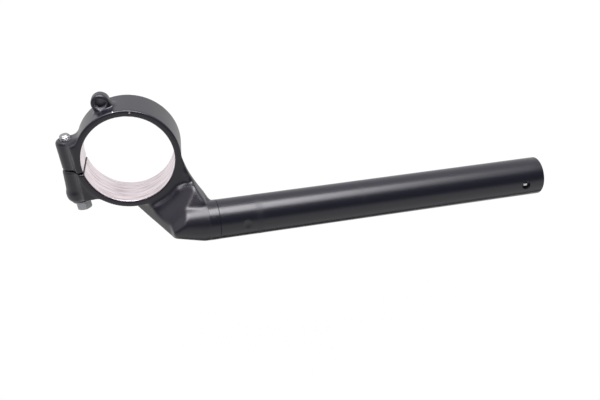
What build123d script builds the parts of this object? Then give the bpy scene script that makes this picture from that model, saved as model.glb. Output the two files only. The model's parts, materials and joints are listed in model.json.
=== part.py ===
"""Clip-on handlebar, right-hand side, in millimetres.

The origin is the centre of the fork clamp's bore, half way up it. +Z runs up the bore, +X is the
direction in which the bar runs outboard as seen from above, and +Y points forwards.
"""
import os
from math import cos, radians, sin, tan

from build123d import *

# Clamp ring
bore_diameter = 50.0
ring_wall = 3.7
ring_height = 24.0
ring_edge_round = 0.8

# Pinch lugs and their slit, turned about the bore
lug_turn = 8.0
slit_width = 1.0
slit_offset = 3.3
bolt_stand_off = 2.95
upper_lug_radius = 5.8
lower_lug_radius = 7.1
lug_waist_radius = 6.25
lug_tip_round = 2.0
upper_lug_length = 16.8
lower_lug_length = 20.1
lug_foot_radius = 7.85
lug_foot_height = 6.5
lug_foot_flare = 2.0
lug_foot_round = 4.6
lug_web_drop = 1.0
lug_web_height = 10.0
lug_web_set_back = 3.4
lug_web_round = 5.0
lug_web_flare = 3.6

# Pinch bolt
bolt_diameter = 6.0
bolt_hole_clearance = 0.4
bolt_thread_clearance = 0.05
bolt_hex = 8.0
bolt_head_height = 5.8
bolt_flange_diameter = 11.6
bolt_flange_height = 1.4
bolt_seat_depth = 0.8
bolt_end_show = 2.4
bolt_end_chamfer = 0.8
hex_crown = 0.6

# Locating boss with its tapped hole
boss_angle = 112.0
boss_stand_off = 3.8
boss_radius = 5.1
boss_hole_diameter = 6.0
boss_hole_depth = 5.0
boss_top = 5.0
boss_height = 7.0
boss_edge_round = 1.2

# Bar: its joint with the casting, and its droop
bar_diameter = 22.2
bar_wall = 2.6
bar_length = 197.5
bar_droop = 8.5
bar_behind = 36.3
bar_joint_reach = 46.2
bar_joint_rise = 6.6
bar_edge_round = 0.5
joint_chamfer = 0.35

# Socket end of the casting
socket_straight = 8.5
socket_length = 30.0
socket_tip_radius = 7.4
socket_tip_shift = 3.7
socket_tip_turn = 45.0
spigot_length = 34.0
spigot_clearance = 0.1
spigot_chamfer = 1.5

# Lock pin through tube and spigot
pin_diameter = 6.0
pin_from_joint = 15.0
pin_clearance = 0.05

# Arm between ring and socket
arm_sweep_radius = 56.0
arm_front_angle = 2.0
arm_end_from_joint = 2.6
arm_end_angle = -26.0
arm_root_radius = 34.8
arm_root_angle = -87.5
arm_back_angle = -104.0
arm_tip_behind = 5.6
step_radius = 31.2
step_rise = 2.1
pocket_set_back = 1.0
pocket_angle = -33.6
pocket_turn = 14.0
pocket_slope = 60.0
pocket_wall_rise = 1.6
rim_width = 2.4
rim_rise = 1.3
ramp_start = 26.0
ramp_start_angle = 10.0
ramp_start_set_back = 7.0
ramp_end = 3.0
ramp_end_angle = -16.0
ramp_end_reach = 12.0
ramp_back_slope = 47.0
face_slope = 57.5
face_turn = 129.0
shoulder_slope = 54.5
shoulder_turn = 187.0
shoulder_angle = -70.0
shoulder_rise = 1.2
tip_slope = 74.0
tip_turn = 187.0
tip_from_joint = 27.0
cheek_overlap = 1.0
flank_slope = 127.0
flank_turn = 28.0
flank_drop = 3.5
belly_slope = 45.0
belly_turn = -50.0
belly_at_ring = -6.0

# Inner weight, its rubbers and its retainer, inside the bar's end
tab_hole_diameter = 5.0
tab_hole_from_end = 11.8
weight_diameter = 13.0
weight_neck_diameter = 10.0
weight_body_length = 96.0
weight_neck_length = 22.0
weight_tail_length = 10.0
weight_recess = 3.0
weight_thread_diameter = 5.0
weight_thread_depth = 16.0
rubber_clearance = 0.1
retainer_length = 15.0
retainer_wall = 0.7
retainer_clearance = 0.1
tab_width = 3.4
tab_length = 4.2
tab_lift = 2.2
tab_clearance = 0.3

# Values that follow
bore_radius = bore_diameter / 2
ring_radius = bore_radius + ring_wall
ring_top = ring_height / 2
bolt_offset = ring_radius + bolt_stand_off
bar_radius = bar_diameter / 2
tube_inner_radius = bar_radius - bar_wall
spigot_radius = tube_inner_radius - spigot_clearance
joint_centre = Vector(bar_joint_reach, -bar_behind, ring_top + bar_joint_rise)
bar_direction = Vector(cos(radians(bar_droop)), 0, -sin(radians(bar_droop)))
bar_up = Vector(sin(radians(bar_droop)), 0, cos(radians(bar_droop)))
far_reach = 4 * bore_diameter


def along_bar(distance):
    """Plane square to the bar, with its X up, at a distance outboard of the joint."""
    return Plane(joint_centre + bar_direction * distance, x_dir=bar_up, z_dir=bar_direction)


def on_bar(distance, angle, radius):
    """Point on a cylinder about the bar's axis: angle 0 faces forwards and 90 faces up."""
    side = Vector(0, 1, 0) * cos(radians(angle)) + bar_up * sin(radians(angle))
    return joint_centre + bar_direction * distance + side * radius


def facing(slope, turn):
    """Direction that leans from straight up by a slope, towards a compass turn from +X."""
    lean = sin(radians(slope))
    return Vector(lean * cos(radians(turn)), lean * sin(radians(turn)), cos(radians(slope)))


def trimmed(solid, point, outward):
    """The solid without what lies outside the plane through a point."""
    return split(solid, bisect_by=Plane(point, z_dir=outward), keep=Keep.BOTTOM)


def rod(plane, radius, length):
    """Cylinder that stands on a plane."""
    return extrude(plane * Circle(radius), amount=length)


# Axes of the pinch joint: outwards from the bore, and along the bolt towards its head
lug_out = Vector(-cos(radians(lug_turn)), -sin(radians(lug_turn)), 0)
bolt_way = Vector(sin(radians(lug_turn)), -cos(radians(lug_turn)), 0)
bolt_axis = Axis(lug_out * bolt_offset, bolt_way)
lug_plane = Plane(lug_out * bolt_offset, x_dir=lug_out, z_dir=Vector(0, 0, 1))
along_lug = lug_plane.y_dir.dot(bolt_way)
upper_lug_end = slit_offset - slit_width / 2 - upper_lug_length
lower_lug_end = slit_offset + slit_width / 2 + lower_lug_length
bolt_seat = lower_lug_end - bolt_seat_depth


def lug_profile(points):
    """Half section of a turned form about the bolt's axis: (radius, distance along the bolt)."""
    return lug_plane * make_face(Polyline([(r, s * along_lug) for r, s in points], close=True))


def lug_point(out, along):
    """Point in plan, by its distance out from the bore's axis and its distance along the bolt."""
    return lug_out * out + bolt_way * along


def pinch_lugs():
    """Two round lugs about the bolt, the lower one with a flared foot, on a web that thins outwards."""
    foot_start = lower_lug_end - lug_foot_height
    outline = [
        (0, upper_lug_end),
        (upper_lug_radius, upper_lug_end),
        (upper_lug_radius, slit_offset - slit_width / 2),
        (lug_waist_radius, slit_offset + slit_width / 2),
        (lower_lug_radius, foot_start - lug_foot_flare),
        (lug_foot_radius, foot_start),
        (lug_foot_radius, lower_lug_end),
        (0, lower_lug_end),
    ]
    lugs = revolve(lug_profile(outline), bolt_axis)
    lugs = fillet(lugs.edges().filter_by(GeomType.CIRCLE).sort_by(bolt_axis)[0], lug_tip_round)
    lugs = fillet(lugs.edges().filter_by(GeomType.CIRCLE).sort_by(bolt_axis)[-1], lug_foot_round)

    flare_start = upper_lug_end - lug_web_flare
    inside = bore_radius / 2
    on_ring = lug_point((ring_radius**2 - flare_start**2) ** 0.5, flare_start)
    on_lug = lug_point(bolt_offset - bolt_diameter / 2, upper_lug_end + lug_tip_round / 2)
    flare = RadiusArc(on_ring, on_lug, lug_web_round)
    outline = Polyline(
        on_lug,
        lug_point(bolt_offset, upper_lug_end + lug_tip_round / 2),
        lug_point(bolt_offset, lower_lug_end - lug_web_set_back),
        lug_point(inside, lower_lug_end - lug_web_set_back),
        lug_point(inside, flare_start),
        on_ring,
    )
    web = extrude(make_face([flare] + outline.edges()), amount=ring_top, both=True)
    ring_side = ring_top - lug_web_drop
    bolt_side = lug_web_height / 2
    wedge = make_face(
        Polyline(
            (inside, -bolt_side),
            (bolt_offset, -bolt_side),
            (bolt_offset, bolt_side),
            (ring_radius, ring_side),
            (inside, ring_side),
            close=True,
        )
    )
    across = Plane((0, 0, 0), x_dir=lug_out, z_dir=-bolt_way)
    return lugs + (web & extrude(across * wedge, amount=far_reach, both=True))


def locating_boss():
    """Small round boss on a web beside the ring, and its tapped hole."""
    out = Vector(cos(radians(boss_angle)), sin(radians(boss_angle)), 0)
    centre = out * (ring_radius + boss_stand_off)
    foot = boss_top - boss_height
    body = rod(Plane(centre + Vector(0, 0, foot)), boss_radius, boss_height)
    body = fillet(body.edges().filter_by(GeomType.CIRCLE), boss_edge_round)
    root = Plane.XY.offset(foot + boss_edge_round) * Pos(out * ring_radius) * Rot(0, 0, boss_angle)
    web = extrude(
        root * Rectangle(2 * boss_stand_off, 2 * boss_radius), amount=boss_height - 2 * boss_edge_round
    )
    hole_floor = Plane(centre + Vector(0, 0, boss_top - boss_hole_depth))
    hole = rod(hole_floor, boss_hole_diameter / 2, boss_hole_depth)
    return body + web, hole


def socket():
    """Tapered socket round the bar's axis, and the spigot inside the tube."""
    taper_start = along_bar(-socket_straight)
    tip_centre = on_bar(-socket_length, socket_tip_turn, socket_tip_shift)
    tip_plane = Plane(tip_centre, x_dir=bar_up, z_dir=bar_direction)
    taper = loft([tip_plane * Circle(socket_tip_radius), taper_start * Circle(bar_radius)])
    collar = rod(taper_start, bar_radius, socket_straight)
    collar = chamfer(collar.edges().sort_by(Axis(joint_centre, bar_direction))[-1], joint_chamfer)
    spigot = rod(along_bar(0), spigot_radius, spigot_length)
    spigot = chamfer(spigot.edges().sort_by(Axis(joint_centre, bar_direction))[-1], spigot_chamfer)
    return taper + collar + spigot


def polar(radius, angle):
    """Point in plan at a radius from the bore's axis."""
    return Vector(radius * cos(radians(angle)), radius * sin(radians(angle)))


def pocket_edge(reach):
    """Point on the top edge of the pocket's sloped wall, by its reach from the pocket's corner."""
    along = Vector(cos(radians(pocket_turn)), sin(radians(pocket_turn)))
    back = Vector(along.Y, -along.X) * (pocket_wall_rise / tan(radians(pocket_slope)))
    corner = polar(step_radius + pocket_set_back, pocket_angle)
    return corner + along * reach + back + Vector(0, 0, ring_top + pocket_wall_rise)


def saddle():
    """Space above the ramp: straight lines run from the pocket's edge to the socket, and the ramp warps."""
    sections = []
    for reach, station, angle in (
        (-ramp_start_set_back, ramp_start, ramp_start_angle),
        (ramp_end_reach, ramp_end, ramp_end_angle),
    ):
        edge = pocket_edge(reach)
        foot = on_bar(-station, angle, bar_radius)
        front = edge + (edge - foot)
        deep = foot + Vector(foot.X - edge.X, foot.Y - edge.Y).normalized() * bar_radius
        above = Vector(0, 0, far_reach)
        sections.append(make_face(Polyline(front, foot, deep, deep + above, front + above, close=True)))
    return loft(sections, ruled=True)


def horn():
    """Arm and socket: a flat web flush with the ring, a low rim, and a faceted ramp up to the socket."""
    start = polar(ring_radius, arm_front_angle)
    end_point = on_bar(-arm_end_from_joint, arm_end_angle, bar_radius)
    tip_point = on_bar(-tip_from_joint, 180, arm_tip_behind)
    end = Vector(end_point.X, end_point.Y)
    sweep = RadiusArc(start, end, -arm_sweep_radius)
    outline = Polyline(
        end,
        Vector(end.X, -bar_behind),
        Vector(tip_point.X, tip_point.Y),
        polar(arm_root_radius, arm_root_angle),
        polar(ring_radius, arm_back_angle),
        Vector(0, 0),
        start,
    )
    plan = make_face([sweep] + outline.edges())
    ground = Plane.XY.offset(-ring_top)
    web = extrude(ground * plan, amount=ring_height)
    strip = plan & Pos(sweep.arc_center) * Circle(arm_sweep_radius + rim_width)
    rim = extrude(ground * (strip - Circle(step_radius)), amount=ring_height + rim_rise)

    ramp = extrude(ground * (plan - Circle(step_radius)), amount=far_reach)
    face_point = polar(step_radius, face_turn - 180) + Vector(0, 0, ring_top + step_rise)
    face_normal = facing(face_slope, face_turn)
    ramp = trimmed(ramp, face_point, face_normal)
    tip_normal = facing(tip_slope, tip_turn)
    cheek = trimmed(ramp, along_bar(cheek_overlap - tip_from_joint).origin, -tip_normal)
    ramp = trimmed(ramp - saddle(), joint_centre, facing(90 - ramp_back_slope, -90))
    ramp = trimmed(ramp, pocket_edge(0), facing(pocket_slope, pocket_turn + 90))
    arm = web + rim + ramp + cheek
    shoulder_point = polar(step_radius, shoulder_angle) + Vector(0, 0, ring_top + shoulder_rise)
    arm = trimmed(arm, shoulder_point, facing(shoulder_slope, shoulder_turn))
    flank_point = sweep @ 0.5 + Vector(0, 0, ring_top - flank_drop)
    arm = trimmed(arm, flank_point, facing(flank_slope, flank_turn))
    belly_point = polar(ring_radius, belly_turn) + Vector(0, 0, belly_at_ring)
    arm = trimmed(arm, belly_point, facing(180 - belly_slope, belly_turn))

    end_piece = trimmed(socket(), face_point, face_normal)
    end_piece = trimmed(end_piece, along_bar(-tip_from_joint).origin, tip_normal)
    return arm + end_piece


def clamp_casting():
    """The whole casting, with its bore, slit and holes cut."""
    ring = Cylinder(ring_radius, ring_height)
    ring = fillet(ring.edges().filter_by(GeomType.CIRCLE), ring_edge_round)
    boss, boss_hole = locating_boss()
    casting = ring + horn() + pinch_lugs() + boss
    casting -= Cylinder(bore_radius, 2 * far_reach)
    slit_centre = lug_out * (bore_radius + far_reach / 2 - ring_wall) + bolt_way * slit_offset
    casting -= Pos(slit_centre) * Rot(0, 0, lug_turn) * Box(far_reach, slit_width, far_reach)
    bolt_plane = Plane(lug_out * bolt_offset, x_dir=lug_out, z_dir=bolt_way)
    casting -= rod(bolt_plane.offset(-far_reach), bolt_diameter / 2 + bolt_thread_clearance, 2 * far_reach)
    casting -= rod(bolt_plane.offset(slit_offset), bolt_diameter / 2 + bolt_hole_clearance, far_reach)
    casting -= rod(bolt_plane.offset(bolt_seat), bolt_flange_diameter / 2 + bolt_hole_clearance, far_reach)
    casting -= boss_hole
    pin_plane = pin_seat()
    casting -= rod(pin_plane.offset(-far_reach), pin_diameter / 2 + pin_clearance, 2 * far_reach)
    return casting


def pin_seat():
    """Plane square to the lock pin, through the bar's axis."""
    return Plane(along_bar(pin_from_joint).origin, x_dir=bar_direction, z_dir=bar_up)


def bar_tube():
    """Steel tube, butted against the collar, drilled for the lock pin and for the retainer's tab."""
    tube = rod(along_bar(0), bar_radius, bar_length)
    tube = fillet(tube.edges().sort_by(Axis(joint_centre, bar_direction))[-1], bar_edge_round)
    tube = chamfer(tube.edges().sort_by(Axis(joint_centre, bar_direction))[0], joint_chamfer)
    tube -= rod(along_bar(0), tube_inner_radius, bar_length)
    tube -= rod(pin_seat().offset(-bar_diameter), pin_diameter / 2 + pin_clearance, 2 * bar_diameter)
    tab_seat = Plane(
        along_bar(bar_length - tab_hole_from_end).origin, x_dir=bar_direction, z_dir=bar_up
    )
    return tube - rod(tab_seat, tab_hole_diameter / 2, bar_diameter)


def bar_lock_pin():
    """Plain pin, flush with the tube above and below."""
    pin = rod(pin_seat().offset(-bar_radius), pin_diameter / 2, bar_diameter)
    return pin & rod(along_bar(0), bar_radius, bar_length)


def pinch_bolt():
    """Hex flange bolt along the pinch axis, its end standing out of the upper lug."""
    bolt_plane = Plane(lug_out * bolt_offset, x_dir=lug_out, z_dir=bolt_way)
    shank_start = upper_lug_end - bolt_end_show
    shank = rod(bolt_plane.offset(shank_start), bolt_diameter / 2, bolt_seat - shank_start)
    shank = chamfer(shank.edges().sort_by(bolt_axis)[0], bolt_end_chamfer)
    flange = loft(
        [
            bolt_plane.offset(bolt_seat) * Circle(bolt_flange_diameter / 2),
            bolt_plane.offset(bolt_seat + bolt_flange_height) * Circle(bolt_hex / 2),
        ]
    )
    head = extrude(
        bolt_plane.offset(bolt_seat) * RegularPolygon(bolt_hex / 2, 6, major_radius=False),
        amount=bolt_head_height,
    )
    crown = rod(bolt_plane.offset(bolt_seat), bolt_hex / 2 / cos(radians(30)), bolt_head_height)
    crown = chamfer(crown.edges().sort_by(bolt_axis)[-1], hex_crown)
    return shank + flange + (head & crown)


# Stations along the bar, outboard of the joint, of what lies inside it
weight_end = bar_length - weight_recess
weight_neck_start = weight_end - weight_neck_length
weight_body_start = weight_neck_start - weight_body_length
weight_tail_start = weight_body_start - weight_tail_length
tab_station = bar_length - tab_hole_from_end
retainer_radius = tube_inner_radius - retainer_clearance
retainer_inner_radius = retainer_radius - retainer_wall
retainer_start = tab_station - retainer_length / 2


def inner_weight():
    """Turned steel weight with a neck at each end and a tapped hole in its outer end."""
    body = rod(along_bar(weight_body_start), weight_diameter / 2, weight_body_length)
    neck = rod(along_bar(weight_tail_start), weight_neck_diameter / 2, weight_end - weight_tail_start)
    hole = rod(along_bar(weight_end - weight_thread_depth), weight_thread_diameter / 2, weight_thread_depth)
    return body + neck - hole


def sleeve(start, length, outer_radius, inner_radius):
    """Round tube along the bar."""
    return rod(along_bar(start), outer_radius, length) - rod(along_bar(start), inner_radius, length)


def weight_rubber_outer():
    """Rubber cushion between the weight's outer neck and the retainer."""
    inner = weight_neck_diameter / 2 + rubber_clearance
    return sleeve(retainer_start, retainer_length, retainer_inner_radius - rubber_clearance, inner)


def weight_rubber_inner():
    """Rubber cushion between the weight's inner neck and the tube."""
    inner = weight_neck_diameter / 2 + rubber_clearance
    return sleeve(weight_tail_start, weight_tail_length, tube_inner_radius - rubber_clearance, inner)


def weight_retainer():
    """Thin steel sleeve inside the tube, with a tab that stands up into the tube's hole."""
    shell = sleeve(retainer_start, retainer_length, retainer_radius, retainer_inner_radius)
    tab_plane = Plane(along_bar(tab_station).origin, x_dir=bar_direction, z_dir=bar_up)
    tab = extrude(
        tab_plane.offset(retainer_inner_radius) * Rectangle(tab_length, tab_width),
        amount=retainer_wall + retainer_clearance + tab_lift,
    )
    hole_limit = rod(tab_plane, tab_hole_diameter / 2 - tab_clearance, bar_diameter)
    return shell + (tab & hole_limit)


os.makedirs("parts", exist_ok=True)
nodes = {
    "clamp_casting": clamp_casting,
    "bar_tube": bar_tube,
    "bar_lock_pin": bar_lock_pin,
    "pinch_bolt": pinch_bolt,
    "inner_weight": inner_weight,
    "weight_rubber_outer": weight_rubber_outer,
    "weight_rubber_inner": weight_rubber_inner,
    "weight_retainer": weight_retainer,
}
for name, build in nodes.items():
    export_step(build(), f"parts/{name}.step")
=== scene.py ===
"""Clip-on handlebar: the finished surfaces of a cast fork clamp with its bolt, and of its painted bar.

All sizes below are in millimetres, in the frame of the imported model: the origin is the centre of the
fork bore, +Z runs up the bore, +X outboard along the bar as seen from above, and +Y forwards.
"""
import json

import bpy
import numpy as np
import openvdb
from mathutils import Matrix, Vector


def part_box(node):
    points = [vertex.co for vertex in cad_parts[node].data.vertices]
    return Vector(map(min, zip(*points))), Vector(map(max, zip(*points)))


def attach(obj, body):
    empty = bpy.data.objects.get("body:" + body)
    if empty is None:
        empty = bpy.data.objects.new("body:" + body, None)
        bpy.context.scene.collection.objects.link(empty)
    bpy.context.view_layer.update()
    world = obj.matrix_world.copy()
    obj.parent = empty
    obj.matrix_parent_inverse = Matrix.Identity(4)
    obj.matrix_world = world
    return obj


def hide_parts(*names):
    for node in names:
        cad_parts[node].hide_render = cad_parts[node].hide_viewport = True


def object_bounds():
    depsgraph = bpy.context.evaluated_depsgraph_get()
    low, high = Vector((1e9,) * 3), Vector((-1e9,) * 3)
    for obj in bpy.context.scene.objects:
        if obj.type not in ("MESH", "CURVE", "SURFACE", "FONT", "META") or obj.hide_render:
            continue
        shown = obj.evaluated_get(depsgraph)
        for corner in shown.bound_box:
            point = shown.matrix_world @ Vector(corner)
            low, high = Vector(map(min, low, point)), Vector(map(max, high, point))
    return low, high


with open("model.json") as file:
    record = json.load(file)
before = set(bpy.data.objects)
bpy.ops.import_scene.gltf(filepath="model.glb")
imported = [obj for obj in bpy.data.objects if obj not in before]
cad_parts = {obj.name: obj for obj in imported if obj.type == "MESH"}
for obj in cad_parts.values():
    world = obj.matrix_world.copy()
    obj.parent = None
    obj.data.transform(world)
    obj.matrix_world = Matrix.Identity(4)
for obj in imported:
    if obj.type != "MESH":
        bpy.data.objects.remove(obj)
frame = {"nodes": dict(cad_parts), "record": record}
cad_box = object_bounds()

# Clamp casting: ring, pinch lugs, locating boss, arm and socket, cast in one piece of aluminium.
# Its faces run into each other in soft mould radii, and the bore, the slit and the holes are cut
# afterwards. It is sprayed satin black all over, and the bore is then bored out to bare metal.
mm = 0.001
mounts = {mount["name"]: mount for mount in frame["record"]["mounts"]}
bore_radius = mounts["fork_clamp"]["dims"]["r_mm"]
bar_way = np.array(mounts["grip_seat"]["axis"])
bar_radius = mounts["grip_seat"]["dims"]["r_mm"]
joint_chamfer = 0.35
joint_centre = np.array(mounts["grip_seat"]["pos_m"]) / mm
joint_centre = joint_centre - bar_way * (mounts["grip_seat"]["dims"]["length_mm"] / 2 + joint_chamfer)
boss_centre = np.array(mounts["locating_bolt"]["pos_m"]) / mm
boss_hole_radius = mounts["locating_bolt"]["dims"]["r_mm"]
boss_hole_half_depth = mounts["locating_bolt"]["dims"]["length_mm"] / 2

ring_radius = 28.7
ring_half_height = 12.0
casting_voxel = 0.5
mould_fillet = 2.2
crisp_fillet = 0.7
lug_fillet = 5.0
edge_softness = 0.9
field_band = 12
field_margin = 4.0
lug_turn = np.radians(8.0)
slit_width = 1.0
slit_offset = 3.3
bolt_offset = 31.65
bolt_hole_radius = 3.1
bolt_seat = 23.1
bolt_seat_radius = 6.2
collar_length = 5.6
collar_blend = 3.0
boss_rim_from, boss_rim_to = 8.5, 6.5
boss_rim_low, boss_rim_high = 2.5, 0.5
arm_middle = (24.0, -24.0)
arm_from, arm_to = 21.0, 17.0
lugs_from, lugs_to = -19.0, -25.0

casting_low, casting_high = (np.array(corner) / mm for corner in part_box("clamp_casting"))
grid_low = np.floor((casting_low - field_margin) / casting_voxel).astype(int)
grid_shape = tuple(np.ceil((casting_high + field_margin) / casting_voxel).astype(int) - grid_low)
grid_transform = openvdb.createLinearTransform(voxelSize=casting_voxel)
grid_x, grid_y, grid_z = (
    (np.arange(count) + low) * casting_voxel for count, low in zip(grid_shape, grid_low)
)
grid_x = grid_x[:, None, None]
grid_y = grid_y[None, :, None]
grid_z = grid_z[None, None, :]


def node_triangles(name):
    """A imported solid's points, merged to a thousandth, and the corner numbers of its triangles."""
    mesh = frame["nodes"][name].data
    mesh.calc_loop_triangles()
    points = np.empty(len(mesh.vertices) * 3, np.float32)
    mesh.vertices.foreach_get("co", points)
    corners = np.empty(len(mesh.loop_triangles) * 3, np.int32)
    mesh.loop_triangles.foreach_get("vertices", corners)
    places, merged = np.unique(np.round(points.reshape(-1, 3) / mm, 3), axis=0, return_inverse=True)
    return places.astype(np.float32), merged.reshape(-1)[corners].reshape(-1, 3).astype(np.uint32)


def depth_field(level_set):
    """The level set's distances on the casting's grid: below zero inside the surface."""
    field = np.empty(grid_shape, np.float32)
    level_set.copyToArray(field, ijk=tuple(int(low) for low in grid_low))
    return field


def filled(fillet):
    """The casting's field once a ball of the fillet's radius has been rolled along its inner corners."""
    points, quads = as_machined.convertToQuads(fillet)
    grown = openvdb.FloatGrid.createLevelSetFromPolygons(
        points, quads=quads, transform=grid_transform, halfWidth=field_band
    )
    return np.minimum(depth_field(grown) + fillet, sharp_field)


def eased(value, start, end):
    """Share that rises smoothly from 0 to 1 while a value goes from its start to its end."""
    share = np.clip((value - start) / (end - start), 0, 1)
    return share * share * (3 - 2 * share)


def blended(field, other, reach):
    """Two forms joined into one, with a soft inner corner of a reach between them."""
    share = np.clip(0.5 + 0.5 * (other - field) / reach, 0, 1)
    return other + (field - other) * share - reach * share * (1 - share)


def above(point, slope, turn):
    """Distance over a plane through a point, its normal leaning by a slope from +Z towards a turn."""
    lean, way = np.radians(slope), np.radians(turn)
    level = (grid_x - point[0]) * np.cos(way) + (grid_y - point[1]) * np.sin(way)
    return level * np.sin(lean) + (grid_z - point[2]) * np.cos(lean)


def softened(field, reach):
    """Gaussian mean along each axis in turn, with a standard deviation given in voxels."""
    steps = np.arange(-int(3 * reach), int(3 * reach) + 1)
    weights = np.exp(-0.5 * (steps / reach) ** 2)
    weights = weights / weights.sum()
    for axis in range(3):
        field = sum(weight * np.roll(field, step, axis) for step, weight in zip(steps, weights))
    return field


casting_points, casting_triangles = node_triangles("clamp_casting")
as_machined = openvdb.FloatGrid.createLevelSetFromPolygons(
    casting_points, triangles=casting_triangles, transform=grid_transform, halfWidth=field_band
)
sharp_field = depth_field(as_machined)
boss_top = boss_centre[2] + boss_hole_half_depth
from_boss = np.hypot(grid_x - boss_centre[0], grid_y - boss_centre[1])
at_boss_top = eased(from_boss, boss_rim_from, boss_rim_to)
at_boss_top = at_boss_top * eased(grid_z, boss_top - boss_rim_low, boss_top - boss_rim_high)
at_arm = eased(np.hypot(grid_x - arm_middle[0], grid_y - arm_middle[1]), arm_from, arm_to)
at_lugs = eased(grid_x, lugs_from, lugs_to)
bar_station = (grid_x - joint_centre[0]) * bar_way[0] + (grid_z - joint_centre[2]) * bar_way[2]
at_collar = eased(bar_station, -collar_length - collar_blend, -collar_length)
cast_field = filled(mould_fillet)
for other_field, share in (
    (filled(crisp_fillet), at_arm),
    (filled(lug_fillet), at_lugs),
    (sharp_field, np.maximum(at_boss_top, at_collar)),
):
    cast_field = cast_field + (other_field - cast_field) * share

# The arm's top, dressed by hand before it is painted: its pocket is built up to a flatter floor behind a
# steep wall, the front face is dished, and a bead runs round the faced ring. Each plane is given by a
# point on it, and by the slope and the turn of its normal in degrees.
front_face = ((25.4, -23.9, 19.4), 57.5, 129.0)
pocket_floor = ((34.0, -26.0, 24.2), 33.0, 92.0)
pocket_wall = ((28.1, -16.3, 12.0), 82.0, 104.0)
pocket_inner_radius = 31.9
pocket_back = -27.0
arm_plan_height = 10.0
arm_softness = 1.7
dish_way = (0.629, -0.777)
dish_radius = 33.0
dish_reach, dish_height = 8.2, 37.8
dish_from = 29.3
bead_radius = 1.2
bead_reach, bead_height = 31.8, 13.4
bead_start = (-74.0, -68.0)
bead_end = (-30.0, -37.0)
bead_blend = 1.0
thinnest_bead = 0.05

from_axis = np.hypot(grid_x, grid_y)
plan_layer = int(round(arm_plan_height / casting_voxel)) - int(grid_low[2])
built_up = np.maximum.reduce(
    np.broadcast_arrays(
        above(*front_face),
        above(*pocket_floor),
        above(*pocket_wall),
        sharp_field[:, :, [plan_layer]],
        pocket_inner_radius - from_axis,
        pocket_back - grid_y,
        ring_half_height - grid_z,
    )
)
outwards = dish_way[0] * grid_x + dish_way[1] * grid_y
dish_cut = np.hypot(outwards - dish_reach, grid_z - dish_height) - dish_radius
dish_cut = np.maximum(dish_cut, dish_from - outwards)
cast_field = np.maximum(np.minimum(cast_field, built_up), -dish_cut)
turn_here = np.degrees(np.arctan2(grid_y, grid_x))
bead_here = bead_radius * eased(turn_here, *bead_start) * eased(turn_here, *bead_end)
bead = np.hypot(from_axis - bead_reach, grid_z - bead_height) - bead_here
cast_field = np.where(bead_here > thinnest_bead, blended(cast_field, bead, bead_blend), cast_field)
cast_field = cast_field + (softened(cast_field, arm_softness) - cast_field) * at_arm

# The cuts: the ring is faced, and the bore, the slit, the bolt's hole and seat and the boss's hole follow.
# A last light softening takes the sharpness off every edge, as the paint does.
faced_ring = np.maximum(from_axis - ring_radius, np.abs(grid_z) - ring_half_height)
cast_field = np.minimum(cast_field, faced_ring)
bore_cut = from_axis - bore_radius
lug_across = -grid_x * np.cos(lug_turn) - grid_y * np.sin(lug_turn)
lug_along = grid_x * np.sin(lug_turn) - grid_y * np.cos(lug_turn)
from_bolt = np.hypot(lug_across - bolt_offset, grid_z)
slit_cut = np.maximum(np.abs(lug_along - slit_offset) - slit_width / 2, -lug_across)
bolt_cut = from_bolt - bolt_hole_radius
seat_cut = np.maximum(from_bolt - bolt_seat_radius, bolt_seat - lug_along)
boss_cut = np.maximum(from_boss - boss_hole_radius, boss_top - 2 * boss_hole_half_depth - grid_z)
for cut in (bore_cut, slit_cut, bolt_cut, seat_cut, boss_cut):
    cast_field = np.maximum(cast_field, -cut)
cast_field = softened(cast_field, edge_softness)

skin = openvdb.FloatGrid(float(field_band * casting_voxel))
skin.copyFromArray(cast_field.astype(np.float32), ijk=tuple(int(low) for low in grid_low))
skin.transform = grid_transform
skin_points, skin_quads = skin.convertToQuads(0.0)


def put_in(name, points, faces):
    """A smooth-shaded object at the origin, from points in millimetres and its faces' corner numbers."""
    mesh = bpy.data.meshes.new(name)
    mesh.from_pydata((np.asarray(points) * mm).tolist(), [], np.asarray(faces).tolist())
    mesh.shade_smooth()
    made = bpy.data.objects.new(name, mesh)
    bpy.context.scene.collection.objects.link(made)
    return made


casting = put_in("cast_clamp", skin_points, skin_quads[:, ::-1])
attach(casting, "root")
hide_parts("clamp_casting")


def linear(code):
    """Linear colour of an sRGB hex value."""
    shares = [int(code[i:i + 2], 16) / 255 for i in (1, 3, 5)]
    return [s / 12.92 if s <= 0.04045 else ((s + 0.055) / 1.055) ** 2.4 for s in shares] + [1.0]


def add_node(material, kind, settings, inputs):
    """Adds one node: its settings by name, and each input as a value or as another node's output."""
    made = material.node_tree.nodes.new(kind)
    for name, value in settings.items():
        setattr(made, name, value)
    for name, value in inputs.items():
        if isinstance(value, bpy.types.NodeSocket):
            material.node_tree.links.new(value, made.inputs[name])
        else:
            made.inputs[name].default_value = value
    return made


def new_material(name):
    """An empty material, and the place of a point on its piece, in metres."""
    material = bpy.data.materials.new(name)
    material.use_nodes = True
    material.node_tree.nodes.clear()
    return material, add_node(material, "ShaderNodeTexCoord", {}, {}).outputs["Object"]


def noise(material, place, size, detail):
    """Noise with features of a size in millimetres."""
    return add_node(
        material, "ShaderNodeTexNoise", {}, {"Vector": place, "Scale": 1 / (size * mm), "Detail": detail}
    ).outputs["Fac"]


def ramp(material, value, value_from, value_to, low, high):
    """A value eased from one range to another."""
    return add_node(
        material,
        "ShaderNodeMapRange",
        {"interpolation_type": "SMOOTHSTEP"},
        {"Value": value, "From Min": value_from, "From Max": value_to, "To Min": low, "To Max": high},
    ).outputs["Result"]


def mixed(material, share, low, high):
    """Two colours mixed by a share."""
    return add_node(
        material, "ShaderNodeMix", {"data_type": "RGBA"}, {"Factor": share, "A": low, "B": high}
    ).outputs["Result"]


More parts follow.
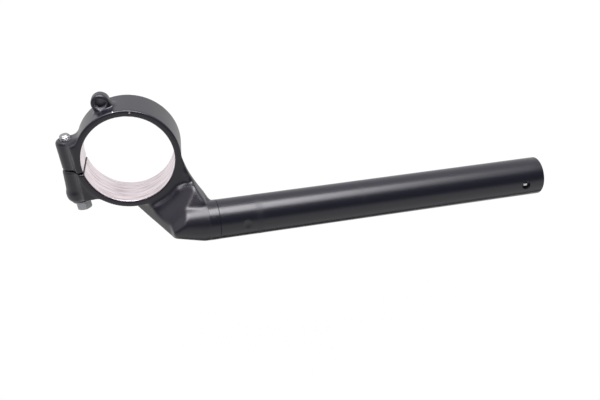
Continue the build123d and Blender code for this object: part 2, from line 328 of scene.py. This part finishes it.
def near(material, place, centre, reach):
    """Share that is 1 at a point in millimetres and falls to 0 at a reach from it."""
    apart = add_node(
        material,
        "ShaderNodeVectorMath",
        {"operation": "DISTANCE"},
        {0: place, 1: tuple(float(c) * mm for c in centre)},
    )
    return ramp(material, apart.outputs["Value"], reach * mm, 0.5 * reach * mm, 0.0, 1.0)


def finish_material(material, piece, height, depth, inputs):
    """Joins a principled shader with a bump of a depth in millimetres, and gives it to the piece."""
    bump = add_node(
        material, "ShaderNodeBump", {}, {"Height": height, "Strength": 0.3, "Distance": depth * mm}
    )
    shader = add_node(
        material, "ShaderNodeBsdfPrincipled", {}, {"Normal": bump.outputs["Normal"], **inputs}
    )
    add_node(material, "ShaderNodeOutputMaterial", {}, {"Surface": shader.outputs["BSDF"]})
    piece.data.materials.append(material)


# Satin black paint sprayed on cast aluminium: nearly black, with the broad soft shine of a fine grain.
# Inside the bore the metal is bare and bored: pale, and drawn with fine lines round the bore. Two small
# chips on the ring's front edge show the metal. Inside the boss's hole a pale grey is painted in: painted
# light, standing in for the light that falls on the hole's walls.
paint_chips = ((-5.6, 28.3, 11.7), (3.2, 27.3, 12.0))
chip_size = 0.6
hole_painted_light_reach = 4.4
bare_from, bare_to = bore_radius + 0.25, bore_radius + 0.1
cast_paint, place = new_material("satin_black_paint_on_cast_aluminium")
grain = noise(cast_paint, place, size=0.6, detail=2.0)
xyz = add_node(cast_paint, "ShaderNodeSeparateXYZ", {}, {"Vector": place}).outputs
flat = add_node(cast_paint, "ShaderNodeCombineXYZ", {}, {"X": xyz["X"], "Y": xyz["Y"]}).outputs["Vector"]
off_axis = add_node(cast_paint, "ShaderNodeVectorMath", {"operation": "LENGTH"}, {0: flat}).outputs["Value"]
bare = ramp(cast_paint, off_axis, bare_from * mm, bare_to * mm, 0.0, 1.0)
for chip in paint_chips:
    bare = add_node(
        cast_paint,
        "ShaderNodeMath",
        {"operation": "MAXIMUM"},
        {0: bare, 1: near(cast_paint, place, chip, chip_size)},
    ).outputs["Value"]
lines_place = add_node(
    cast_paint, "ShaderNodeMapping", {}, {"Vector": place, "Scale": (0.04, 0.04, 1.0)}
).outputs["Vector"]
bore_lines = noise(cast_paint, lines_place, size=0.5, detail=3.0)
streaks = ramp(cast_paint, bore_lines, 0.3, 0.62, 0.0, 1.0)
bare_tone = mixed(cast_paint, streaks, linear("#b3a5aa"), linear("#eee3e6"))
paint_tone = mixed(cast_paint, grain, linear("#0b0a13"), linear("#110f1a"))
# Painted light: a pale grey mixed into the paint inside the boss's hole, in place of the light on its
# walls.
hole_painted_light = near(cast_paint, place, boss_centre, hole_painted_light_reach)
paint_tone = mixed(cast_paint, hole_painted_light, paint_tone, linear("#9a9aa4"))
relief = add_node(cast_paint, "ShaderNodeMix", {}, {"Factor": bare, "A": grain, "B": bore_lines})
finish_material(
    cast_paint,
    casting,
    relief.outputs["Result"],
    depth=0.03,
    inputs={
        "Base Color": mixed(cast_paint, bare, paint_tone, bare_tone),
        "Metallic": bare,
        "Roughness": ramp(cast_paint, bare, 0.0, 1.0, 0.36, 0.3),
    },
)

# Collar: the outer end of the socket, turned to the tube's diameter so that the two run on flush.
# It is part of the casting and wears the same paint, but a lathe has left its start crisp.
collar_proud = 0.06
collar_gap = 0.12
collar_edge = 0.1
collar_depth = 1.0
collar_sides = 192
forwards = np.array([0.0, 1.0, 0.0])


def spun(origin, way, across, stations, radii):
    """Closed surface round an axis: row i and side j lie at station i along it, radius (i, j) from it."""
    sides = radii.shape[1]
    angles = np.linspace(0, 2 * np.pi, sides, endpoint=False)
    spokes = np.cos(angles)[:, None] * across + np.sin(angles)[:, None] * np.cross(way, across)
    points = origin + stations[:, None, None] * way + radii[:, :, None] * spokes[None]
    row, side = np.meshgrid(np.arange(len(stations)), np.arange(sides), indexing="ij")
    after, beside = (row + 1) % len(stations), (side + 1) % sides
    faces = np.stack([row, row, after, after], -1) * sides + np.stack([side, beside, beside, side], -1)
    return points.reshape(-1, 3), faces.reshape(-1, 4)


def lathed(profile, sides):
    """A closed profile of (station along the bar, radius) pairs, carried once round the bar's axis."""
    stations, radii = np.array(profile, float).T
    return spun(joint_centre, bar_way, forwards, stations, np.repeat(radii[:, None], sides, axis=1))


collar_radius = bar_radius + collar_proud
collar = put_in(
    "turned_collar",
    *lathed(
        [
            (-collar_length, bar_radius - collar_depth),
            (-collar_length, bar_radius - collar_edge / 2),
            (-collar_length + collar_edge, collar_radius),
            (-collar_length / 2, collar_radius),
            (-collar_gap - collar_edge, collar_radius),
            (-collar_gap, collar_radius - collar_edge),
            (-collar_gap, bar_radius - collar_depth),
        ],
        collar_sides,
    ),
)
collar.data.set_sharp_from_angle(angle=np.radians(30))
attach(collar, "root")
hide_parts("clamp_casting")

# Satin black paint on turned aluminium: smoother than on the cast skin, so it shines more, with the
# lathe's feed lines faintly under it.
collar_paint, place = new_material("satin_black_paint_on_turned_aluminium")
lathe_place = add_node(
    collar_paint, "ShaderNodeMapping", {}, {"Vector": place, "Scale": (1.0, 0.02, 0.02)}
).outputs["Vector"]
lathe_lines = noise(collar_paint, lathe_place, size=0.6, detail=2.0)
finish_material(
    collar_paint,
    collar,
    lathe_lines,
    depth=0.01,
    inputs={
        "Base Color": mixed(collar_paint, lathe_lines, linear("#090a12"), linear("#0f101b")),
        "Roughness": ramp(collar_paint, lathe_lines, 0.3, 0.7, 0.27, 0.31),
    },
)

# Bar tube: a length of steel tube pushed over the casting's spigot and sprayed gloss black.
# A round hole, drilled near its end and lightly chamfered, takes the sprung tab of the retainer inside.
tube_inner_radius = 8.5
tube_length = 197.5
tube_end_round = 0.5
tube_start_round = 0.1
tube_gap = 0.02
tube_mouth_chamfer = 0.3
tube_sides = 192
tab_inset = 11.8
tab_station = tube_length - tab_inset
tab_hole_radius = 2.5
tab_hole_chamfer = 0.25
window_steps = 20
pin_station = 15.0
pin_radius = 3.0
pin_margin = 4.0
dimple_depth = 0.7
bar_up = np.cross(bar_way, forwards)

window_half = bar_radius * np.sin(window_steps / 2 * 2 * np.pi / tube_sides)
window = np.linspace(tab_station - window_half, tab_station + window_half, window_steps + 1)
round_turn = np.linspace(0, np.pi / 2, 6)
outer_stations = np.concatenate(
    [
        np.linspace(tube_start_round, pin_station - pin_margin, 5)[:-1],
        np.linspace(pin_station - pin_margin, pin_station + pin_margin, 33)[:-1],
        np.linspace(pin_station + pin_margin, window[0], 55)[:-1],
        window,
    ]
)
tube_profile = [(tube_gap, tube_inner_radius), (tube_gap, bar_radius - tube_start_round)]
tube_profile += [(station, bar_radius) for station in outer_stations]
tube_profile += list(
    zip(
        tube_length - tube_end_round + tube_end_round * np.sin(round_turn),
        bar_radius - tube_end_round + tube_end_round * np.cos(round_turn),
    )
)
outer_row = 2 + len(outer_stations) - len(window)
tube_profile += [(tube_length, tube_inner_radius + tube_mouth_chamfer)]
tube_profile += [(tube_length - tube_mouth_chamfer, tube_inner_radius)]
inner_row = len(tube_profile)
tube_profile += [(station, tube_inner_radius) for station in window[::-1]]
tube_points, tube_faces = lathed(tube_profile, tube_sides)


def dimple(along, aside):
    """Depth of the dimple over the lock pin at a place in plan: a squared bowl as wide as the pin."""
    return dimple_depth * np.clip(1 - (along**2 + aside**2) / pin_radius**2, 0, 1) ** 2


from_pin = tube_points - (joint_centre + pin_station * bar_way)
pressed_in = np.sign(from_pin @ bar_up) * dimple(from_pin @ bar_way, from_pin @ forwards)
tube_points = tube_points - np.multiply.outer(pressed_in, bar_up)


def across_bar(reach, angle, radius):
    """Point over the tab's hole: its reach and angle in plan, dropped on a cylinder round the bar."""
    along, aside = reach * np.cos(angle), reach * np.sin(angle)
    height = np.sqrt(radius**2 - aside**2)
    spot = np.multiply.outer(tab_station + along, bar_way) - np.multiply.outer(aside, forwards)
    return joint_centre + spot + np.multiply.outer(height, bar_up)


def window_rim(row):
    """Point numbers round a window in the tube's grid, with each one's angle and reach from the hole."""
    first = tube_sides // 4 - window_steps // 2
    steps = np.arange(window_steps)
    stay = np.zeros(window_steps, int)
    rows = np.concatenate([steps, stay + window_steps, window_steps - steps, stay]) + row
    sides = np.concatenate([stay, steps, stay + window_steps, window_steps - steps]) + first
    numbers = rows * tube_sides + sides
    apart = tube_points[numbers] - (joint_centre + tab_station * bar_way)
    along, aside = apart @ bar_way, -(apart @ forwards)
    return numbers, np.arctan2(aside, along), np.hypot(along, aside)


def belt(lower, upper):
    """Quads between two equal rings of point numbers."""
    return np.stack([lower, upper, np.roll(upper, -1), np.roll(lower, -1)], -1)


face_row, face_side = np.divmod(np.arange(len(tube_faces)), tube_sides)
in_side = np.abs(face_side + 0.5 - tube_sides // 4) < window_steps / 2
in_row = np.zeros(len(tube_faces), bool)
for row in (outer_row, inner_row):
    in_row |= (face_row >= row) & (face_row < row + window_steps)
tube_faces = tube_faces[~(in_side & in_row)]
outer_rim, outer_angle, outer_reach = window_rim(outer_row)
inner_rim, inner_angle, _ = window_rim(inner_row)
inner_order = np.argsort(inner_angle)
outer_order = np.argsort(outer_angle)
hole_edge = tab_hole_radius + tab_hole_chamfer
hole_angle = outer_angle[outer_order]
rings = [outer_rim[outer_order]]
for share in (0.25, 0.5, 0.75, 1.0):
    reach = outer_reach[outer_order] * (1 - share) + hole_edge * share
    rings.append(len(tube_points) + np.arange(len(hole_angle)))
    tube_points = np.concatenate([tube_points, across_bar(reach, hole_angle, bar_radius)])
for radius in (bar_radius - tab_hole_chamfer, tube_inner_radius):
    rings.append(len(tube_points) + np.arange(len(hole_angle)))
    wall = across_bar(np.full(len(hole_angle), tab_hole_radius), hole_angle, radius)
    tube_points = np.concatenate([tube_points, wall])
rings.append(inner_rim[inner_order])
tube_faces = np.concatenate([tube_faces] + [belt(low, up) for low, up in zip(rings, rings[1:])])
used, tube_faces = np.unique(tube_faces, return_inverse=True)
tube = put_in("bar_tube_painted", tube_points[used], tube_faces.reshape(-1, 4))
tube.data.set_sharp_from_angle(angle=np.radians(35))
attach(tube, "root")
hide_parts("bar_tube")


def along_bar(material, place):
    """Distance of a point along the bar from its joint, in metres."""
    from_joint = add_node(
        material,
        "ShaderNodeVectorMath",
        {"operation": "SUBTRACT"},
        {0: place, 1: tuple(float(c) * mm for c in joint_centre)},
    ).outputs["Vector"]
    return add_node(
        material,
        "ShaderNodeVectorMath",
        {"operation": "DOT_PRODUCT"},
        {0: from_joint, 1: tuple(float(c) for c in bar_way)},
    ).outputs["Value"]


# Gloss black paint on drawn steel tube: a deep blue-black under a clear shine, with a trace of orange
# peel. Two rubbed bands cross it, where the shine is a little duller. Each band is given by its middle
# along the bar, its half width, and what it adds to the roughness.
rubbed_bands = ((22.5, 3.0, 0.16), (83.0, 2.0, 0.08))
gloss_roughness = 0.3
tube_paint, place = new_material("gloss_black_paint_on_steel_tube")
peel = noise(tube_paint, place, size=1.2, detail=2.0)
smears = noise(tube_paint, place, size=3.0, detail=4.0)
station = along_bar(tube_paint, place)
dulled = 0.0
for middle, half_width, amount in rubbed_bands:
    off_middle = add_node(
        tube_paint, "ShaderNodeMath", {"operation": "SUBTRACT"}, {0: station, 1: middle * mm}
    ).outputs["Value"]
    off_middle = add_node(
        tube_paint, "ShaderNodeMath", {"operation": "ABSOLUTE"}, {0: off_middle}
    ).outputs["Value"]
    band = ramp(tube_paint, off_middle, half_width * mm, 0.3 * half_width * mm, 0.0, amount)
    dulled = add_node(
        tube_paint, "ShaderNodeMath", {"operation": "MULTIPLY_ADD"}, {0: band, 1: smears, 2: dulled}
    ).outputs["Value"]
gloss = add_node(
    tube_paint, "ShaderNodeMath", {"operation": "ADD"}, {0: dulled, 1: gloss_roughness}
).outputs["Value"]
finish_material(
    tube_paint,
    tube,
    peel,
    depth=0.01,
    inputs={
        "Base Color": mixed(tube_paint, peel, linear("#090a12"), linear("#0f101b")),
        "Roughness": gloss,
    },
)

# Lock pin: a plain steel pin through tube and spigot, pressed a little below the skin and painted over.
# Only a shallow dimple, a fine ring and the marks of its grinding show.
pin_proud = 0.04
pin_edge_width = 0.06
pin_edge_drop = 0.08
pin_sides = 64
pin_reach = [0.01, 0.5, 1.0, 1.5, 2.0, 2.4, 2.8, pin_radius - pin_edge_width, pin_radius, pin_radius]
pin_sink = [0.0] * (len(pin_reach) - 2) + [pin_edge_drop, bar_radius / 2]
pin_angle = np.linspace(0, 2 * np.pi, pin_sides, endpoint=False)
pin_points = []
for end, order in ((1, slice(None)), (-1, slice(None, None, -1))):
    for reach, sink in zip(pin_reach[order], pin_sink[order]):
        along, aside = reach * np.cos(pin_angle), reach * np.sin(pin_angle)
        height = end * (np.sqrt((bar_radius + pin_proud) ** 2 - aside**2) - sink - dimple(along, aside))
        spots = np.multiply.outer(pin_station + along, bar_way) + np.multiply.outer(aside, forwards)
        pin_points.append(joint_centre + spots + np.multiply.outer(height, bar_up))
row, side = np.meshgrid(np.arange(len(pin_points) - 1), np.arange(pin_sides), indexing="ij")
beside = (side + 1) % pin_sides
pin_faces = np.stack([row, row, row + 1, row + 1], -1) * pin_sides
pin_faces = pin_faces + np.stack([side, beside, beside, side], -1)
pin = put_in("lock_pin_painted", np.concatenate(pin_points), pin_faces.reshape(-1, 4))
pin.data.set_sharp_from_angle(angle=np.radians(50))
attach(pin, "root")
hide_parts("bar_lock_pin")

# Gloss black paint on a ground pin: as the tube's, but swirl marks of the grinder show faintly through.
swirl_width = 0.9
pin_paint, place = new_material("gloss_black_paint_on_ground_pin")
pin_top = joint_centre + bar_way * pin_station + bar_up * bar_radius
swirl_place = add_node(
    pin_paint,
    "ShaderNodeVectorMath",
    {"operation": "SUBTRACT"},
    {0: place, 1: tuple(float(c) * mm for c in pin_top)},
).outputs["Vector"]
swirl = add_node(
    pin_paint,
    "ShaderNodeTexWave",
    {"wave_type": "RINGS", "rings_direction": "SPHERICAL"},
    {"Vector": swirl_place, "Scale": 0.3 / (swirl_width * mm), "Distortion": 1.5},
).outputs["Fac"]
finish_material(
    pin_paint,
    pin,
    swirl,
    depth=0.03,
    inputs={
        "Base Color": mixed(pin_paint, swirl, linear("#090a12"), linear("#12131e")),
        "Roughness": ramp(pin_paint, swirl, 0.0, 1.0, 0.3, 0.38),
    },
)

# Pinch bolt: a cold-forged flange bolt with a rolled thread, screwed into the upper lug.
# Its thread end stands out of that lug, and its hex head and flange sit under the lower one.
bolt_sides = 96
bolt_end = -16.4
bolt_hidden = -10.0
thread_pitch = 1.0
thread_radius = 3.0
thread_depth = 0.55
thread_tip_radius = 2.2
rows_per_pitch = 14
hex_half = 4.0
hex_turn = np.radians(14.0)
bolt_way = np.array([np.sin(lug_turn), -np.cos(lug_turn), 0.0])
lug_out = np.array([-np.cos(lug_turn), -np.sin(lug_turn), 0.0])
bolt_angle = np.linspace(0, 2 * np.pi, bolt_sides, endpoint=False)


def groove(turns):
    """Share of a thread's depth after a number of turns: 0 on a crest, 1 at a root, straight between."""
    return np.clip(1.25 - 2.5 * np.abs(turns % 1 - 0.5), 0, 1)


thread_stations = np.arange(bolt_end, bolt_hidden, thread_pitch / rows_per_pitch)[:, None]
turned = thread_stations / thread_pitch - bolt_angle / (2 * np.pi)
thread_radii = thread_radius - thread_depth * groove(turned)
thread_radii = np.minimum(thread_radii, thread_tip_radius + thread_stations - bolt_end)
end_radii = np.repeat([[0.01], [1.2], [2.0]], bolt_sides, axis=1)
hidden_radii = np.repeat([[2.4], [0.01]], bolt_sides, axis=1)
thread = spun(
    lug_out * bolt_offset,
    bolt_way,
    lug_out,
    np.concatenate(
        [[bolt_end + 0.05, bolt_end + 0.02, bolt_end], thread_stations[:, 0], [bolt_hidden] * 2]
    ),
    np.concatenate([end_radii, thread_radii, hidden_radii]),
)

# The head, row by row: height over the seat, largest radius, and whether the hex cuts the row.
hex_radii = hex_half / np.cos((bolt_angle + hex_turn + np.pi / 6) % (np.pi / 3) - np.pi / 6)
head_rows = [
    (0.0, 0.01, False),
    (0.0, 5.6, False),
    (0.15, 5.8, False),
    (0.5, 5.8, False),
    (0.75, 5.6, False),
    (1.4, 4.75, False),
    (1.45, 4.7, True),
    (5.1, 4.7, True),
    (5.35, 4.45, True),
    (5.65, 4.1, True),
    (5.8, 3.7, True),
    (5.78, 3.2, False),
    (5.5, 2.9, False),
    (5.45, 0.01, False),
]
head_heights, head_limits, head_six = (np.array(column) for column in zip(*head_rows))
head_radii = np.repeat(head_limits[:, None], bolt_sides, axis=1)
head_radii[head_six] = np.minimum(head_radii[head_six], hex_radii)
head = spun(lug_out * bolt_offset, bolt_way, lug_out, bolt_seat + head_heights, head_radii)


def joined(*surfaces):
    """Several surfaces as one list of points and one of faces."""
    offsets = np.cumsum([0] + [len(points) for points, _ in surfaces])
    faces = np.concatenate([faces + offset for (_, faces), offset in zip(surfaces, offsets)])
    return np.concatenate([points for points, _ in surfaces]), faces


bolt = put_in("flange_bolt", *joined(thread, head))
bolt.data.set_sharp_from_angle(angle=np.radians(28))
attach(bolt, "root")
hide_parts("pinch_bolt")

# Bright zinc plating on forged steel: pale and slightly blue, with a soft, cloudy shine.
zinc, place = new_material("bright_zinc_plating_on_forged_steel")
cloud = noise(zinc, place, size=1.5, detail=4.0)
finish_material(
    zinc,
    bolt,
    cloud,
    depth=0.02,
    inputs={
        "Base Color": mixed(zinc, cloud, linear("#757679"), linear("#a6a7a9")),
        "Metallic": 1.0,
        "Roughness": ramp(zinc, cloud, 0.2, 0.8, 0.32, 0.45),
    },
)

# Inner weight: a bar of plain steel turned down to a neck at each end, and tapped in its outer end.
# It hangs inside the tube in two rubbers, and its end shows in the tube's mouth.
weight_inset = 3.0
neck_length = 22.0
body_length = 96.0
tail_length = 10.0
weight_radius = 6.5
neck_radius = 5.0
body_chamfer = 0.8
neck_chamfer = 0.6
tail_chamfer = 0.5
tapped_radius = 2.5
tapped_depth = 16.0
tapped_chamfer = 0.7
tapped_groove = 0.45
inner_sides = 96

weight_end = tube_length - weight_inset
neck_start = weight_end - neck_length
body_start = neck_start - body_length
tail_start = body_start - tail_length
weight_profile = [
    (tail_start, 0.01),
    (tail_start, neck_radius - tail_chamfer),
    (tail_start + tail_chamfer, neck_radius),
    (body_start, neck_radius),
    (body_start, weight_radius - body_chamfer),
    (body_start + body_chamfer, weight_radius),
    (neck_start - body_chamfer, weight_radius),
    (neck_start, weight_radius - body_chamfer),
    (neck_start, neck_radius),
    (weight_end - neck_chamfer, neck_radius),
    (weight_end, neck_radius - neck_chamfer),
    (weight_end, tapped_radius + tapped_chamfer),
]
for turn in range(int(tapped_depth) - 1):
    crest = weight_end - tapped_chamfer - turn
    weight_profile += [(crest, tapped_radius), (crest - 0.5, tapped_radius + tapped_groove)]
weight_profile += [(weight_end - tapped_depth, tapped_radius), (weight_end - tapped_depth, 0.01)]
weight = put_in("turned_weight", *lathed(weight_profile, inner_sides))
weight.data.set_sharp_from_angle(angle=np.radians(30))
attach(weight, "root")
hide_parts("inner_weight")

# Turned plain steel: grey and a little oily, with fine feed lines round it from the lathe.
feed_width = 0.3
plain_steel, place = new_material("turned_plain_steel")
station = along_bar(plain_steel, place)
feed = add_node(
    plain_steel,
    "ShaderNodeTexNoise",
    {"noise_dimensions": "1D"},
    {"W": station, "Scale": 1 / (feed_width * mm)},
).outputs["Fac"]
finish_material(
    plain_steel,
    weight,
    feed,
    depth=0.02,
    inputs={
        "Base Color": mixed(plain_steel, feed, linear("#6f7073"), linear("#8f9092")),
        "Metallic": 1.0,
        "Roughness": ramp(plain_steel, feed, 0.2, 0.8, 0.32, 0.45),
    },
)

# Rubbers: two moulded cushions that keep the weight off the tube, one round each neck.
# Both bulge a little at their ends.
retainer_half_length = 7.5
retainer_radius = 8.4
retainer_inner_radius = 7.7
rubber_clearance = 0.1
rubber_bulge = 0.35
rubber_inner_radius = neck_radius + rubber_clearance
retainer_start = tab_station - retainer_half_length
retainer_end = tab_station + retainer_half_length


def cushion(start, end, outer_radius):
    """Profile of a sleeve with rounded corners and ends that bulge as half a sine wave."""
    across = np.linspace(0, 1, 9)
    radii = rubber_inner_radius + across * (outer_radius - rubber_inner_radius)
    swell = rubber_bulge * np.sin(np.pi * across) - rubber_bulge
    out_again = [(station, radius) for station, radius in zip(end + swell, radii)]
    return [(start - s, r) for s, r in zip(swell, radii)] + out_again[::-1]


rubbers = []
for name, node, start, end, housing_radius in (
    ("outer_cushion", "weight_rubber_outer", retainer_start, retainer_end, retainer_inner_radius),
    ("inner_cushion", "weight_rubber_inner", tail_start, body_start, tube_inner_radius),
):
    rubber_radius = housing_radius - rubber_clearance
    rubber = put_in(name, *lathed(cushion(start, end, rubber_radius), inner_sides))
    rubber.data.set_sharp_from_angle(angle=np.radians(60))
    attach(rubber, "root")
    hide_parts(node)
    rubbers.append(rubber)

# Moulded black rubber: soft and dull, darker in its pores.
black_rubber, place = new_material("moulded_black_rubber")
pores = noise(black_rubber, place, size=0.4, detail=3.0)
finish_material(
    black_rubber,
    rubbers[0],
    pores,
    depth=0.05,
    inputs={
        "Base Color": mixed(black_rubber, pores, linear("#0f0f0f"), linear("#1e1e1e")),
        "Roughness": ramp(black_rubber, pores, 0.2, 0.8, 0.6, 0.8),
    },
)
rubbers[1].data.materials.append(black_rubber)

# Retainer: a sleeve of thin spring steel round the outer rubber, with a pressed tab.
# The tab snaps up into the tube's hole and holds the weight in.
tab_half_length = 1.7
tab_half_width = 1.2
tab_top = 9.9
tab_foot = retainer_radius - 0.4
tab_steps = 24
retainer_edge = 0.15
retainer_profile = [
    (retainer_start, retainer_inner_radius),
    (retainer_start, retainer_radius - retainer_edge),
    (retainer_start + retainer_edge, retainer_radius),
    (retainer_end - retainer_edge, retainer_radius),
    (retainer_end, retainer_radius - retainer_edge),
    (retainer_end, retainer_inner_radius),
]
shares = np.linspace(-1, 1, tab_steps + 1)
tab_u, tab_v = np.meshgrid(shares, shares, indexing="ij")
tab_rise = np.clip(1 - tab_u**4 - tab_v**4, 0, 1) ** 0.25
tab_height = tab_foot + (tab_top - tab_foot) * tab_rise
tab_spots = np.multiply.outer(tab_station + tab_half_length * tab_u, bar_way)
tab_spots = tab_spots + np.multiply.outer(tab_half_width * tab_v, forwards)
tab_points = joint_centre + tab_spots + np.multiply.outer(tab_height, bar_up)
u, v = np.meshgrid(np.arange(tab_steps), np.arange(tab_steps), indexing="ij")
corner = u * (tab_steps + 1) + v
tab_faces = np.stack([corner, corner + tab_steps + 1, corner + tab_steps + 2, corner + 1], -1)
tab = (tab_points.reshape(-1, 3), tab_faces.reshape(-1, 4))
retainer = put_in("sprung_retainer", *joined(lathed(retainer_profile, inner_sides), tab))
retainer.data.set_sharp_from_angle(angle=np.radians(35))
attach(retainer, "root")
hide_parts("weight_retainer")

# Rolled spring steel strip: bright and cold, with the fine grain of the rolls.
spring_steel, place = new_material("rolled_spring_steel")
strip_grain = noise(spring_steel, place, size=0.5, detail=3.0)
finish_material(
    spring_steel,
    retainer,
    strip_grain,
    depth=0.01,
    inputs={
        "Base Color": mixed(spring_steel, strip_grain, linear("#a9abae"), linear("#cfd0d2")),
        "Metallic": 1.0,
        "Roughness": ramp(spring_steel, strip_grain, 0.2, 0.8, 0.24, 0.34),
    },
)

# Studio: a white floor under the bar, a white room with a dark side behind the camera, and one soft box.
# The floor and the room show white to the camera and in reflections, and the floor keeps the shadow.
floor_drop = 40.0
floor_half = 6000.0
floor_glow = 1.02
floor_glow_share = 0.93
floor_z = cad_box[0].z / mm - floor_drop


def level_sheet(name, low_x, low_y, high_x, high_y, z):
    """A level rectangle, in millimetres, for the stage."""
    corners = [(low_x, low_y, z), (high_x, low_y, z), (high_x, high_y, z), (low_x, high_y, z)]
    sheet = put_in(name, corners, [(0, 1, 2, 3)])
    return sheet


floor = level_sheet("floor", -floor_half, -floor_half, floor_half, floor_half, floor_z)
floor_white, place = new_material("matt_white_floor")
rays = add_node(floor_white, "ShaderNodeLightPath", {}, {}).outputs
seen = add_node(
    floor_white,
    "ShaderNodeMath",
    {"operation": "ADD", "use_clamp": True},
    {0: rays["Is Camera Ray"], 1: rays["Is Glossy Ray"]},
).outputs["Value"]
seen = add_node(
    floor_white,
    "ShaderNodeMath",
    {"operation": "ADD", "use_clamp": True},
    {0: seen, 1: rays["Is Transmission Ray"]},
).outputs["Value"]
share = add_node(floor_white, "ShaderNodeMath", {"operation": "MULTIPLY"}, {0: seen, 1: floor_glow_share})
matt = add_node(floor_white, "ShaderNodeBsdfDiffuse", {}, {"Color": linear("#f4f4f4")})
glow = add_node(floor_white, "ShaderNodeEmission", {}, {"Color": (1, 1, 1, 1), "Strength": floor_glow})
both = add_node(
    floor_white,
    "ShaderNodeMixShader",
    {},
    {"Fac": share.outputs["Value"], 1: matt.outputs["BSDF"], 2: glow.outputs["Emission"]},
)
add_node(floor_white, "ShaderNodeOutputMaterial", {}, {"Surface": both.outputs["Shader"]})
floor.data.materials.append(floor_white)

# Black card on the floor behind the bar: it shows only in reflections, where it darkens the bar's
# lower edge, and it casts no shadow.
card_left, card_right = -20.0, 1500.0
card_far, card_near = -2500.0, -190.0
card_lift = 1.0
card = level_sheet("black_card", card_left, card_far, card_right, card_near, floor_z + card_lift)
card_black, place = new_material("black_card")
matt = add_node(card_black, "ShaderNodeBsdfDiffuse", {}, {"Color": linear("#1c1c1c")})
add_node(card_black, "ShaderNodeOutputMaterial", {}, {"Surface": matt.outputs["BSDF"]})
card.data.materials.append(card_black)
card.visible_camera = False
card.visible_diffuse = False
card.visible_shadow = False

# Camera: in front of the clamp and above it, with the bar running up to the right of the picture.
# Behind it the white room has a dark side, so that faces turned to the camera stay dark.
dark_side_from, dark_side_to = np.radians(46), np.radians(27)
dark_side_level = 0.1
camera_place = Vector((34.87, 209.08, 459.2)) * mm
camera_back = Vector((-0.1149, 0.47, 0.8752)).normalized()
camera_up = Vector((0.0634, 0.8827, -0.4657))
camera_right = camera_up.cross(camera_back).normalized()
camera_up = camera_back.cross(camera_right)
camera = bpy.data.objects.new("camera", bpy.data.cameras.new("camera"))
bpy.context.scene.collection.objects.link(camera)
camera.data.sensor_width = 36.0
camera.data.lens = 54.0
camera.data.clip_start = 0.01
turn = Matrix((camera_right, camera_up, camera_back)).transposed()
camera.matrix_world = Matrix.Translation(camera_place) @ turn.to_4x4()
bpy.context.scene.camera = camera

world = bpy.data.worlds.new("white_room")
world.use_nodes = True
world.node_tree.nodes.clear()
bpy.context.scene.world = world
way = add_node(world, "ShaderNodeTexCoord", {}, {}).outputs["Generated"]
way = add_node(
    world, "ShaderNodeVectorMath", {"operation": "MULTIPLY"}, {0: way, 1: (0, 1, 1)}
).outputs["Vector"]
way = add_node(world, "ShaderNodeVectorMath", {"operation": "NORMALIZE"}, {0: way}).outputs["Vector"]
facing = add_node(
    world,
    "ShaderNodeVectorMath",
    {"operation": "DOT_PRODUCT"},
    {0: way, 1: tuple(Vector((0, camera_back.y, camera_back.z)).normalized())},
).outputs["Value"]
room = ramp(world, facing, np.cos(dark_side_from), np.cos(dark_side_to), 1.0, dark_side_level)
rays = add_node(world, "ShaderNodeLightPath", {}, {}).outputs
strength = add_node(
    world, "ShaderNodeMix", {}, {"Factor": rays["Is Camera Ray"], "A": room, "B": 1.0}
).outputs["Result"]
sky = add_node(world, "ShaderNodeBackground", {}, {"Color": (1, 1, 1, 1), "Strength": strength})
add_node(world, "ShaderNodeOutputWorld", {}, {"Surface": sky.outputs["Background"]})

# Soft box: a tall cloth panel in front of the bar, lit from its middle, so that it fades towards its
# sides. It stands on the floor, and the camera itself doesn't see it.
box_y = 1200.0
box_left, box_right = -900.0, 1100.0
box_low, box_high = floor_z + 5, 800.0
box_power, box_end_power = 15.0, 1.2
box_corners = [
    (box_left, box_y, box_low),
    (box_right, box_y, box_low),
    (box_right, box_y, box_high),
    (box_left, box_y, box_high),
]
soft_box = put_in("soft_box", box_corners, [(0, 1, 2, 3)])
cloth, place = new_material("lit_cloth")
sideways = add_node(cloth, "ShaderNodeSeparateXYZ", {}, {"Vector": place}).outputs["X"]
right_fade = ramp(cloth, sideways, 0.25, 0.85, box_power, box_end_power)
left_fade = add_node(
    cloth,
    "ShaderNodeMapRange",
    {},
    {"Value": sideways, "From Min": -0.3, "From Max": -0.9, "To Min": 1.0, "To Max": 0.3},
).outputs["Result"]
power = add_node(cloth, "ShaderNodeMath", {"operation": "MULTIPLY"}, {0: right_fade, 1: left_fade})
glow = add_node(
    cloth, "ShaderNodeEmission", {}, {"Color": linear("#fffcff"), "Strength": power.outputs["Value"]}
)
add_node(cloth, "ShaderNodeOutputMaterial", {}, {"Surface": glow.outputs["Emission"]})
soft_box.data.materials.append(cloth)
soft_box.visible_camera = False

bpy.context.scene.view_settings.view_transform = "Standard"
